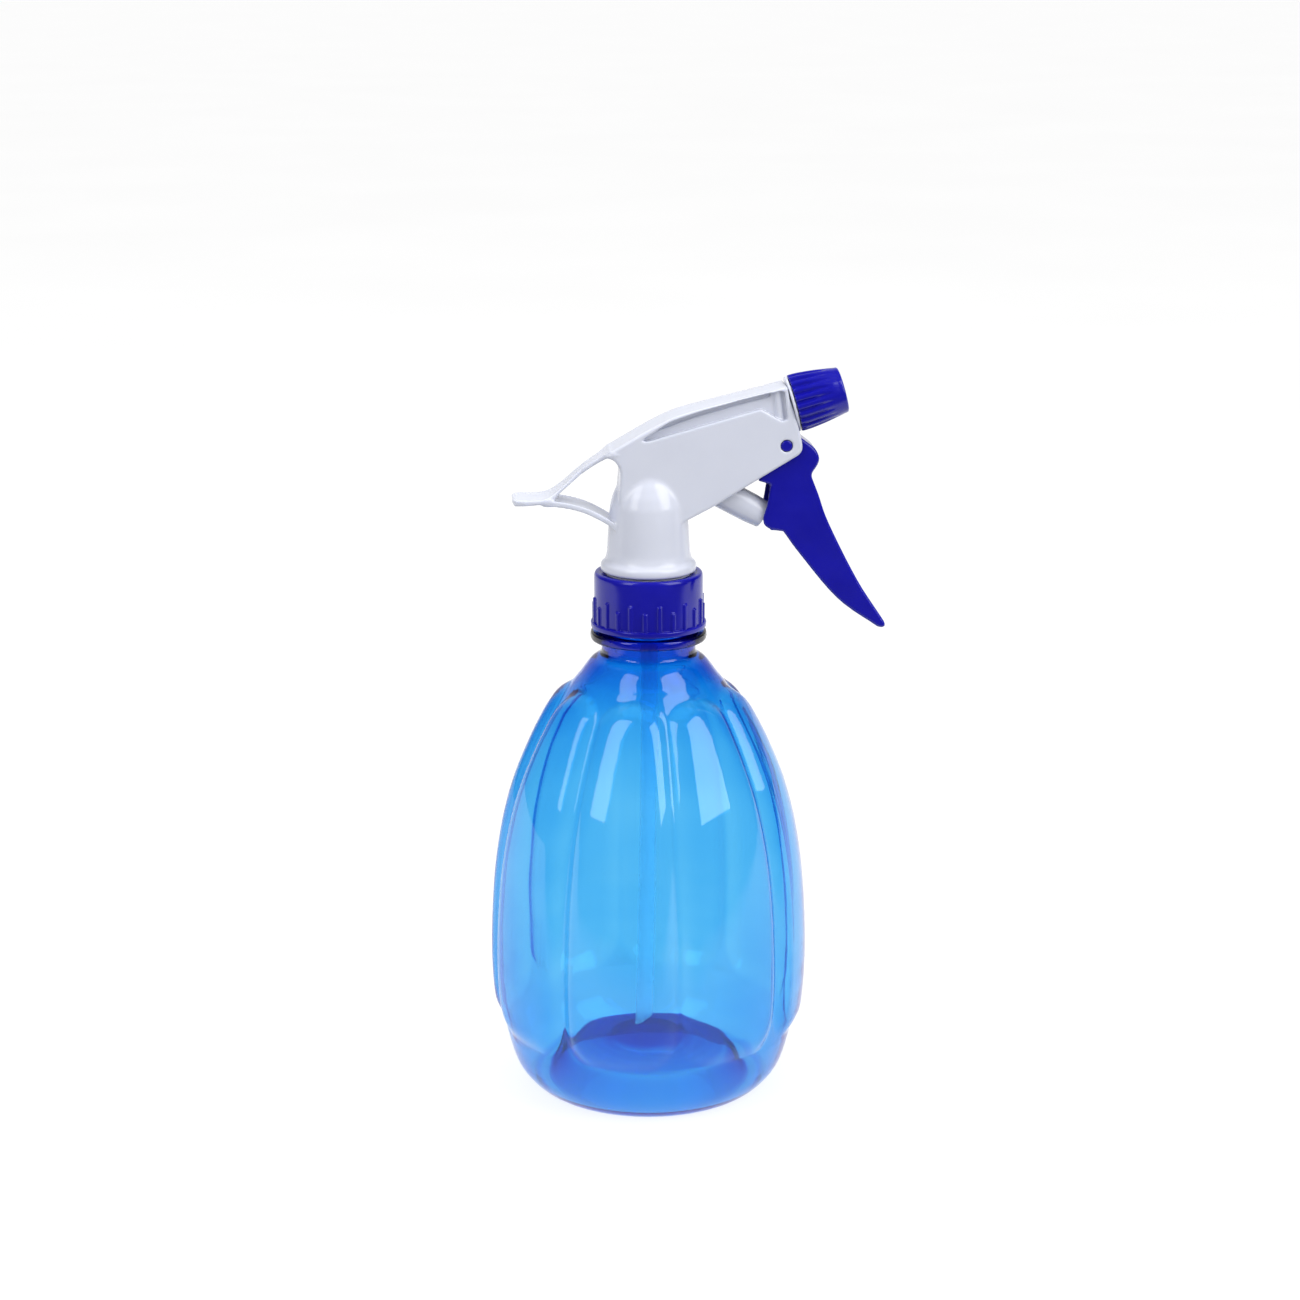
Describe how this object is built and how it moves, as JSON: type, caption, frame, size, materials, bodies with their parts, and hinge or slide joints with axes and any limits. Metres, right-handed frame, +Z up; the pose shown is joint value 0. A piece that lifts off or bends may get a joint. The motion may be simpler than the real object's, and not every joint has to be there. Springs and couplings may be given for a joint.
{
  "type": "spray bottle",
  "caption": "Hand trigger sprayer with screw closure, dip tube and adjustable nozzle on a lobed, see-through blown bottle.",
  "frame": {"origin": "centre of the whole object's box at the plane the foot stands on; the bottle's own axis is at x = -10.5 mm", "axes": "+X the way the nozzle points, +Z up along the bottle's axis, +Y to the left of the nozzle"},
  "size_m": [0.1123, 0.0912, 0.2085],
  "materials": {
    "bottle_pet": "clear blue, glossy",
    "blue_plastic": "satin gloss, deep blue",
    "white_plastic": "satin gloss, cool white",
    "tube_plastic": "milky, see-through",
    "seal_rubber": "soft, matt",
    "spring_steel": "drawn wire and polished ball"
  },
  "bodies": {
    "bottle": {"bottle": "bottle_pet"},
    "gasket": {"neck_gasket": "seal_rubber"},
    "head": {"shroud": "white_plastic", "pump_body": "white_plastic", "tube_retainer": "white_plastic", "dip_tube": "tube_plastic", "ball_stop": "white_plastic", "piston_guide": "white_plastic", "return_spring": "spring_steel", "outlet_spring": "spring_steel", "spinner": "white_plastic"},
    "cap": {"screw_cap": "blue_plastic"},
    "trigger": {"trigger": "blue_plastic"},
    "piston": {"piston": "white_plastic", "piston_seal": "seal_rubber", "vent_seal": "seal_rubber"},
    "nozzle_carrier": {"nozzle_seal": "seal_rubber"},
    "nozzle": {"nozzle_cap": "blue_plastic"},
    "intake_ball": {"intake_ball": "spring_steel"},
    "outlet_ball": {"outlet_ball": "spring_steel"}
  },
  "joints": [
    {"name": "head_lift_off", "type": "slide", "parent": "bottle", "child": "gasket", "axis": [0, 0, 1], "range_m": [0, 0.15]},
    {"name": "closure_rise", "type": "slide", "parent": "gasket", "child": "head", "axis": [0, 0, 1], "range_m": [0, 0.00476]},
    {"name": "cap_turn", "type": "hinge", "parent": "head", "child": "cap", "pos_m": [-0.0105, 0, 0.14], "axis": [0, 0, 1], "range_deg": [0, 540]},
    {"name": "trigger_pull", "type": "hinge", "parent": "head", "child": "trigger", "pos_m": [0.0274, 0, 0.18795], "axis": [0, 1, 0], "range_deg": [0, 22], "stiffness_Nm_per_rad": 0.3, "springref_deg": -20.05},
    {"name": "piston_stroke", "type": "slide", "parent": "head", "child": "piston", "axis": [-0.8796, 0, 0.4756], "range_m": [0, 0.00815], "deforming": ["return_spring"]},
    {"name": "nozzle_travel", "type": "slide", "parent": "head", "child": "nozzle_carrier", "axis": [0.9643, 0, 0.2649], "range_m": [0, 0.00249]},
    {"name": "nozzle_turn", "type": "hinge", "parent": "nozzle_carrier", "child": "nozzle", "pos_m": [0.03579, 0, 0.20034], "axis": [0.9643, 0, 0.2649], "range_deg": [0, 450]},
    {"name": "intake_ball_lift", "type": "slide", "parent": "head", "child": "intake_ball", "axis": [0, 0, 1], "range_m": [0, 0.0015]},
    {"name": "outlet_ball_lift", "type": "slide", "parent": "head", "child": "outlet_ball", "axis": [0.9643, 0, 0.2649], "range_m": [0, 0.0012], "stiffness_N_per_m": 200, "springref_m": -0.001, "deforming": ["outlet_spring"]}
  ],
  "couplings": [
    {"joint": "cap_turn", "follows": "closure_rise", "rad_per_m": 1975.8},
    {"joint": "trigger_pull", "follows": "piston_stroke", "rad_per_m": 47.059},
    {"joint": "nozzle_turn", "follows": "nozzle_travel", "rad_per_m": 3141.6}
  ]
}
